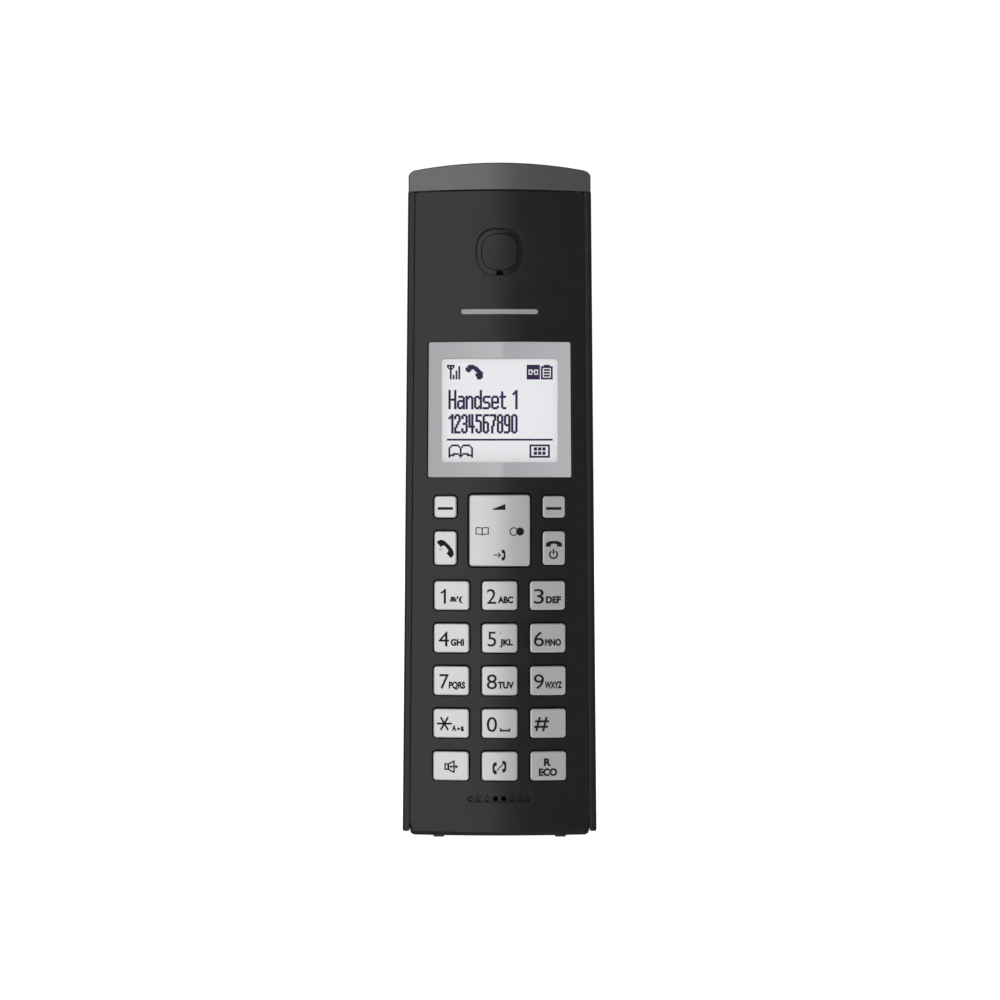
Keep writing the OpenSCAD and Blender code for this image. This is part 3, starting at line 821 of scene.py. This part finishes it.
def disc(x, z, radius, sides):
    """The corners of a full round dot."""
    return arc(x, z, radius, 0, 360, sides)[:-1]


def bow(x, z, radius, width, start, end):
    """A curved stroke between two angles in degrees."""
    outer = arc(x, z, radius + width / 2, start, end, 24)
    inner = arc(x, z, radius - width / 2, start, end, 24)
    return outer + inner[::-1]


def handset_mark(x, z, width, degrees):
    """A small telephone handset, lying with its ends down before it is turned."""
    half = [(0.0, 0.35), (0.22, 0.34), (0.36, 0.3), (0.47, 0.22), (0.5, 0.12), (0.5, 0.0), (0.2, 0.0),
            (0.19, 0.13), (0.12, 0.17)]
    loop = half + [(0.0, 0.175)] + [(-a, b) for a, b in half[:0:-1]]
    across, up = math.cos(math.radians(degrees)) * width, math.sin(math.radians(degrees)) * width
    return [(x + a * across - (b - 0.16) * up, z + a * up + (b - 0.16) * across) for a, b in loop]


# What each key says in letters: the words, and where their ink ends across and up from the key's middle
DIGIT, SMALL, TAILED = (-2.08, 1.62), (-1.95, -0.2), (-2.3, -0.2)
WORDS = {
    "key_1": [("&'(", (-0.5, 2.8), SMALL)],
    "key_2": [("2", (-3.2, -0.87), DIGIT), ("ABC", (-0.45, 3.4), SMALL)],
    "key_3": [("3", (-3.4, -0.88), DIGIT), ("DEF", (-0.4, 3.4), SMALL)],
    "key_4": [("4", (-3.25, -0.6), DIGIT), ("GHI", (-0.2, 3.15), SMALL)],
    "key_5": [("5", (-2.98, -0.85), DIGIT), ("JKL", (0.05, 3.35), TAILED)],
    "key_6": [("6", (-3.45, -0.93), DIGIT), ("MNO", (-0.7, 3.35), SMALL)],
    "key_7": [("7", (-2.95, -0.6), DIGIT), ("PQRS", (-0.65, 3.45), TAILED)],
    "key_8": [("8", (-3.2, -0.66), DIGIT), ("TUV", (-0.45, 3.6), SMALL)],
    "key_9": [("9", (-3.5, -0.98), DIGIT), ("WXYZ", (-0.75, 3.55), SMALL)],
    "key_star": [("A", (0.15, 1.3), (-1.95, -0.45)), ("a", (2.4, 3.2), (-1.95, -0.7))],
    "key_0": [("0", (-3.2, -0.64), DIGIT)],
    "key_recall": [("R", (-1.1, 0.7), (0.0, 1.92)), ("ECO", (-2.38, 2.22), (-2.52, -0.58))],
}

# What each key shows as a drawing: shapes, each of one or more loops round the key's middle
DRAWINGS = {
    "key_1": [[[(-1.45, -2.08), (-1.45, 1.62), (-1.85, 1.62), (-2.15, 1.15), (-2.75, 0.85), (-2.75, 0.4),
                (-2.0, 0.7), (-2.0, -2.08)]]],
    "key_star": [*([spoke(-1.7, -0.08, 1.87, 0.46, k * math.pi / 3)] for k in range(3)),
                 [[(1.4, -1.35), (1.85, -0.95), (2.3, -1.35), (1.85, -1.75)]]],
    "key_0": [[[(0.05, -1.98), (0.05, -1.2), (0.47, -1.2), (0.47, -1.55), (2.23, -1.55), (2.23, -1.2),
                (2.65, -1.2), (2.65, -1.98)]]],
    "key_hash": [[strip(-3.5, -0.85, 0.0, -0.85, 0.53)], [strip(-3.25, 0.5, 0.27, 0.5, 0.53)],
                 [strip(-2.95, -1.95, -2.05, 1.6, 0.53)], [strip(-1.25, -1.95, -0.35, 1.6, 0.53)]],
    "key_speaker": [[[(-0.75, 0.65), (0.95, 1.5), (0.95, -1.85), (-0.75, -1.0)],
                     [(-0.4, 0.42), (0.58, 0.92), (0.58, -1.27), (-0.4, -0.77)]],
                    [[(-1.65, 0.65), (-0.6, 0.65), (-0.6, -1.0), (-1.65, -1.0)],
                     [(-1.3, 0.32), (-0.9, 0.32), (-0.9, -0.67), (-1.3, -0.67)]],
                    [strip(-0.1, -0.17, 1.5, -0.17, 0.32)],
                    [[(1.85, -0.17), (1.15, 0.38), (1.15, -0.72)]],
                    [[(-0.38, -0.17), (0.2, 0.28), (0.2, -0.62)]]],
    "key_intercom": [[handset_mark(-1.2, -0.5, 3.0, 90)], [handset_mark(1.15, -0.1, 2.9, -90)],
                     *([disc(0.08 + 0.46 * k, 0.46 * k - 0.3, 0.24, 16)] for k in (-1, 0, 1))],
    **dict.fromkeys(["soft_key_left", "soft_key_right"], [[strip(-1.93, -0.42, 1.9, -0.42, 0.66)]]),
    "talk_key": [[handset_mark(0.2, 0.02, 5.3, -48)]],
    "end_key": [[handset_mark(0.03, 1.0, 4.05, 0)], [bow(-0.08, -1.6, 0.96, 0.4, 124, 416)],
                [strip(-0.08, -1.5, -0.08, -0.25, 0.42)]],
}


def middle_of_key(key):
    """The middle of a key across and up."""
    return sum(span(key, 0)) / 2, sum(span(key, 2)) / 2


def key_print(key):
    """The ink on one key."""
    x, z = middle_of_key(key)
    marks = [lettering(words, [x + end for end in across], [z + end for end in up])
             for words, across, up in WORDS.get(key, [])]
    marks += [printed("mark", loops, x, z) for loops in DRAWINGS.get(key, [])]
    marks[0].name = marks[0].data.name = key + "_print"
    return laid_on_key(together(*marks))


def rocker_print():
    """The four marks on the rocker: louder and softer, phone book, redial list and call log."""
    z = middle_of_key("nav_key")[1]
    page = [(1.4, -0.6), (1.0, -0.56), (0.3, -0.66), (0.14, -0.76), (0.14, 0.68), (0.3, 0.73), (1.0, 0.81),
            (1.4, 0.73)]
    covers = [(-1.65, -0.85), (-1.65, 0.95), (-1.0, 1.05), (-0.25, 0.95), (0.0, 0.85), (0.25, 0.95),
              (1.0, 1.05), (1.65, 0.95), (1.65, -0.85), (1.0, -0.8), (0.3, -0.9), (0.0, -1.05),
              (-0.3, -0.9), (-1.0, -0.8)]
    wedge = [(-1.62, -0.72), (1.58, -0.72), (1.58, 0.75), (-1.62, -0.5)]
    arrow_x, list_z, log_z = -0.5, z - 0.27, z - 6.15
    marks = [printed("nav_key_print", [wedge], -0.12, z + 5.85),
             printed("book", [covers, [(-a, b) for a, b in page], page], -4.35, z - 0.2),
             printed("open_ring", [bow(0, 0, 0.94, 0.27, 42, 318)], 3.55, list_z),
             printed("full_disc", [disc(0, 0, 1.0, 40)], 5.1, list_z),
             printed("arrow", [strip(-1.0, 0, 0.75, 0, 0.24)], arrow_x, log_z),
             printed("barb_up", [strip(0.05, 0.6, 0.85, -0.08, 0.24)], arrow_x, log_z),
             printed("barb_down", [strip(0.05, -0.6, 0.85, 0.08, 0.24)], arrow_x, log_z),
             printed("log_set", [handset_mark(0, 0, 2.7, -90)], 0.95, log_z)]
    return laid_on_key(together(*marks))


def touch_dot(key, across, up):
    """A small raised dot that fingers find, beside a key's middle."""
    x, z = middle_of_key(key)
    x, z = x + across, z + up
    surface = KEY_TOP + sag(x)
    bpy.ops.object.select_all(action="DESELECT")
    bpy.ops.mesh.primitive_uv_sphere_add(segments=24, ring_count=12, radius=0.4 * MM,
                                         location=(x * MM, (surface + 0.1) * MM, z * MM))
    bpy.context.active_object.scale.y = 0.6
    return smooth(trimmed(placed(key + "_dot"), (x, surface + 0.05, z), (0, 1, 0)))


def silver_dash():
    """A plain silver dash with round ends, printed above the display."""
    x, radius = 9.0, 0.6
    ends = arc(x, 0, radius, -90, 90, 32) + arc(-x, 0, radius, 90, 270, 32)
    piece = laid_on_key(printed("silver_dash", [ends], 0, 131.55))
    for corner in piece.data.vertices:
        corner.co.y += (FRONT - KEY_TOP) * MM
    return piece


# The display's picture, in dots

GLYPHS = {
    "H": "#...# #...# #...# #...# #...# #...# ##### #...# #...# #...# #...# #...# #...#",
    "a": "..... ..... ..... ..... .###. ....# ....# .#### #...# #...# #...# #..## .##.#",
    "n": "..... ..... ..... ..... #.##. ##..# #...# #...# #...# #...# #...# #...# #...#",
    "d": "....# ....# ....# ....# .##.# #..## #...# #...# #...# #...# #...# #..## .##.#",
    "s": "..... ..... ..... ..... .#### #.... #.... #.... .###. ....# ....# ....# ####.",
    "e": "..... ..... ..... ..... .###. #...# #...# #...# ##### #.... #.... #...# .###.",
    "t": ".... .#.. .#.. .#.. #### .#.. .#.. .#.. .#.. .#.. .#.. .#.. ..##",
    " ": "... ... ... ... ... ... ... ... ... ... ... ... ...",
    "1": "..# .## #.# ..# ..# ..# ..# ..# ..# ..# ..# ..# ..#",
    "2": ".##. #..# #..# ...# ...# ..#. ..#. .#.. .#.. #... #... #... ####",
    "3": ".##. #..# #..# ...# ...# ...# .##. ...# ...# ...# #..# #..# .##.",
    "4": "#.#. #.#. #.#. #.#. #.#. #.#. #.#. #.#. #### ..#. ..#. ..#. ..#.",
    "5": "#### #... #... #... ###. ...# ...# ...# ...# ...# #..# #..# .##.",
    "6": ".### #... #... #... #... ###. #..# #..# #..# #..# #..# #..# .##.",
    "7": "#### ...# ...# ...# ..#. ..#. ..#. ..#. .#.. .#.. .#.. .#.. .#..",
    "8": ".##. #..# #..# #..# #..# .##. #..# #..# #..# #..# #..# #..# .##.",
    "9": ".##. #..# #..# #..# #..# #..# #..# .### ...# ...# ...# ...# ###.",
    "0": ".##. #..# #..# #..# #..# #..# #..# #..# #..# #..# #..# #..# .##.",
    "signal": "#####.... #.#.#...# .###....# ..#.....# ..#...#.# "
              "..#...#.# ..#...#.# ..#.#.#.# ..#.#.#.# ..#.#.#.#",
    "call": "..####...... .#######.... #########... ####..####.. .##....####. "
            "........#### .......##### .......##### ........#### ........###.",
    "tape": "######### ######### ######### #...#...# #.#...#.# "
            "#.#.#.#.# #...#...# ######### ######### #########",
    "battery": "..####.. ######## #......# #.####.# #......# #.####.# #......# #.####.# #......# ########",
    "book": "..#####...#####.. .#.....#.#.....#. #.......#.......# #.......#.......# #.......#.......# "
            "#.......#.......# #..####.#.####..# ####...###...#### #.......#.......#",
    "menu": "############## #............# #..##.##.##..# #..##.##.##..# #............# "
            "#..##.##.##..# #..##.##.##..# #............# ##############",
}
LAYOUT = [(["signal"], 3, 4), (["call"], 16, 4), (["tape"], 59, 4), (["battery"], 69, 4),
          ("Handset 1", 4, 22), ("1234567890", 4, 39), (["book"], 4, 60), (["menu"], 61, 60)]
COLUMNS, ROWS = 80, 72
DOT = 0.358              # distance from dot to dot
LINE_ROW = 56            # the row of the line above the lowest icons
TEXT_ROWS = (20, 53)     # between these rows stands the text, whose strokes are heavier


def written(text, column, row):
    """The dots of glyphs set side by side from a column and row."""
    dots = set()
    for glyph in text:
        lines = GLYPHS[glyph].split()
        dots |= {(column + c, row + r) for r, line in enumerate(lines)
                 for c, mark in enumerate(line) if mark == "#"}
        column += max(map(len, lines)) + 1
    return dots


def display_dots():
    """The dark dots of the display: a fine sheet from which all that isn't dark is removed."""
    dots = {(column, LINE_ROW) for column in range(3, 77)}.union(*(written(*words) for words in LAYOUT))
    x, z = VIEW[:2]
    left, top = x - COLUMNS * DOT / 2, z + ROWS * DOT / 2
    bpy.ops.object.select_all(action="DESELECT")
    place = (x * MM, (span("lcd_panel", 1)[0] - 0.03) * MM, z * MM)
    bpy.ops.mesh.primitive_grid_add(x_subdivisions=3 * COLUMNS, y_subdivisions=3 * ROWS, size=1, location=place,
                                    rotation=(math.pi / 2, 0, 0))
    bpy.context.active_object.scale = (COLUMNS * DOT * MM, ROWS * DOT * MM, 1)
    piece = placed("display_dots")

    def dark(across, down):
        return (int(across / DOT), int(down / DOT)) in dots

    def clear(face):
        """Is this bit of the sheet clear? A dot also darkens a little to its right and above it."""
        middle = face.calc_center_median() / MM
        across, down = middle.x - left, top - middle.z
        spread = 0.22 if TEXT_ROWS[0] < down / DOT < TEXT_ROWS[1] else 0.1
        return not any(dark(across - a, down + b) for a in (0, spread) for b in (0, spread))

    pick(piece, "FACE", clear)
    bpy.ops.mesh.delete(type="FACE")
    done()
    return piece


# Build and finish the pieces

charcoal = charcoal_satin()
silver = silver_paint_and_gap_shade()
ink = moulded("key ink", (0.008, 0.008, 0.009), 0.55, texture=0.05, specular_ior_level=0.25)
steel = metal("nickel plate", (0.62, 0.6, 0.56), 0.28)
black_rubber = moulded("black rubber", (0.012, 0.012, 0.012), 0.75, texture=0.2, strength=0.3)

fit_out(front_shell(), charcoal, "handset", "charcoal_plastic", "front_cover")
fit_out(rear_shell(), charcoal, "handset", "charcoal_plastic", "rear_cover")
fit_out(side_trim("trim_left", -1), charcoal, "handset", "charcoal_plastic", "side_trim_left")
fit_out(side_trim("trim_right", 1), charcoal, "handset", "charcoal_plastic", "side_trim_right")
fit_out(battery_door(), charcoal, "battery_cover", "charcoal_plastic", "battery_cover")
fit_out(top_cap(), graphite_paint(), "handset", "graphite_cap", "top_cap")
fit_out(window_lens(), window_print_and_painted_reflection(), "handset", "smoked_window", "display_window")
violet = moulded("display dots", (0.03, 0.004, 0.08), 0.5, specular_ior_level=0.2)
fit_out(display_dots(), violet, "handset", "lcd_glass")

for key in KEYS:
    fit_out(key_cap(key), silver, key, "silver_keys", key)
    fit_out(key_print(key), ink, key, "silver_keys")
fit_out(key_cap("nav_key"), silver, "nav_key", "silver_keys", "nav_key")
fit_out(rocker_print(), ink, "nav_key", "silver_keys")
fit_out(touch_dot("key_5", 0.1, 1.15), silver, "key_5", "silver_keys")
fit_out(touch_dot("talk_key", -1.2, -0.4), silver, "talk_key", "silver_keys")
silver_ink = moulded("silver ink", (0.42, 0.42, 0.43), 0.35, metallic=0.3)
fit_out(silver_dash(), silver_ink, "handset", "silver_keys")

white = moulded("white plastic", (0.8, 0.8, 0.79), 0.35)
felt = moulded("microphone felt", (0.006, 0.006, 0.006), 0.95, texture=0.25, strength=0.5,
               specular_ior_level=0.1)
driver = moulded("loudspeaker grey", (0.05, 0.05, 0.052), 0.4)
INSIDE = {
    "lcd_panel": display_glow(), "lcd_holder": white,
    "light_guide": moulded("acrylic", (0.85, 0.88, 0.9), 0.08),
    "display_ribbon": moulded("amber film", (0.45, 0.2, 0.03), 0.2),
    "keypad_mat": moulded("grey rubber", (0.2, 0.205, 0.215), 0.6),
    "main_board": board_laminate(), "board_chips": moulded("chip resin", (0.015, 0.015, 0.016), 0.5),
    "microphone": felt, "earpiece_receiver": driver, "loudspeaker": driver,
    "battery_cell_left": cell_wrap(), "battery_cell_right": cell_wrap(),
    **dict.fromkeys(["nav_post", "earpiece_gasket", "microphone_boot", "loudspeaker_gasket"], black_rubber),
    **dict.fromkeys(["dome_switches", "shield_can", "antenna", "battery_springs", "battery_plates",
                     "charge_contact_left", "charge_contact_right", "case_screws"], steel),
}
for node, finish in INSIDE.items():
    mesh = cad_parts[node].data
    mesh.materials.clear()
    mesh.materials.append(finish.material)


# Floor, light and camera

def floor():
    """A pale light table that the handset stands on."""
    bpy.ops.object.select_all(action="DESELECT")
    bpy.ops.mesh.primitive_plane_add(size=6)
    piece = placed("floor")
    finish = Finish("pale floor", roughness=0.9, emission_color=(1.0, 1.0, 1.0), emission_strength=1.0)
    finish.drive(base_color=finish.blend(finish.grain(30.0), (0.86, 0.86, 0.86), (0.88, 0.88, 0.88)))
    piece.data.materials.append(finish.material)
    piece.visible_glossy = False


def softbox(name, place, target, width, height, power):
    """A rectangular light at a place, turned to a target."""
    lamp = bpy.data.lights.new(name, "AREA")
    lamp.shape, lamp.size, lamp.size_y, lamp.energy = "RECTANGLE", width, height, power
    piece = bpy.data.objects.new(name, lamp)
    bpy.context.scene.collection.objects.link(piece)
    piece.location = place
    piece.rotation_euler = (Vector(target) - Vector(place)).to_track_quat("-Z", "Y").to_euler()


def room():
    """A white backdrop to look at, and a dim even room to light and to be mirrored."""
    world = bpy.data.worlds.new("room")
    bpy.context.scene.world = world
    world.use_nodes = True
    tree = world.node_tree
    backdrop, ambient = tree.nodes["Background"], tree.nodes.new("ShaderNodeBackground")
    mix, path = tree.nodes.new("ShaderNodeMixShader"), tree.nodes.new("ShaderNodeLightPath")
    for light, strength in ((backdrop, 1.05), (ambient, 0.15)):
        light.inputs["Color"].default_value, light.inputs["Strength"].default_value = (1, 1, 1, 1), strength
    for source, target in ((path.outputs["Is Camera Ray"], mix.inputs[0]), (ambient.outputs[0], mix.inputs[1]),
                           (backdrop.outputs[0], mix.inputs[2]),
                           (mix.outputs[0], tree.nodes["World Output"].inputs["Surface"])):
        tree.links.new(source, target)


def camera():
    """A camera straight in front, half way up the handset."""
    lens = bpy.data.cameras.new("camera")
    piece = bpy.data.objects.new("camera", lens)
    bpy.context.scene.collection.objects.link(piece)
    distance, width_seen, aside = 0.488, 0.25, 0.0001
    piece.location = (aside, FRONT * MM - distance, HEIGHT / 2 * MM)
    piece.rotation_euler = (math.pi / 2, 0, 0)
    lens.sensor_width, lens.lens = 36.0, 36.0 * distance / width_seen
    lens.clip_start = 0.01
    bpy.context.scene.camera = piece


floor()
room()
# The left softbox ends 17 mm to the right of the middle, so its reflection breaks off there along the front.
width = 1.6
left_x = 0.017 - width / 2
softbox("left_softbox", (left_x, -1.3, 0.3), (left_x, 0, 0.3), width, 2.4, 10.0)
softbox("back_softbox", (0.5, 1.6, 1.2), (0, 0, 0.08), 1.2, 1.2, 10.0)
camera()
bpy.context.scene.view_settings.view_transform = "Standard"
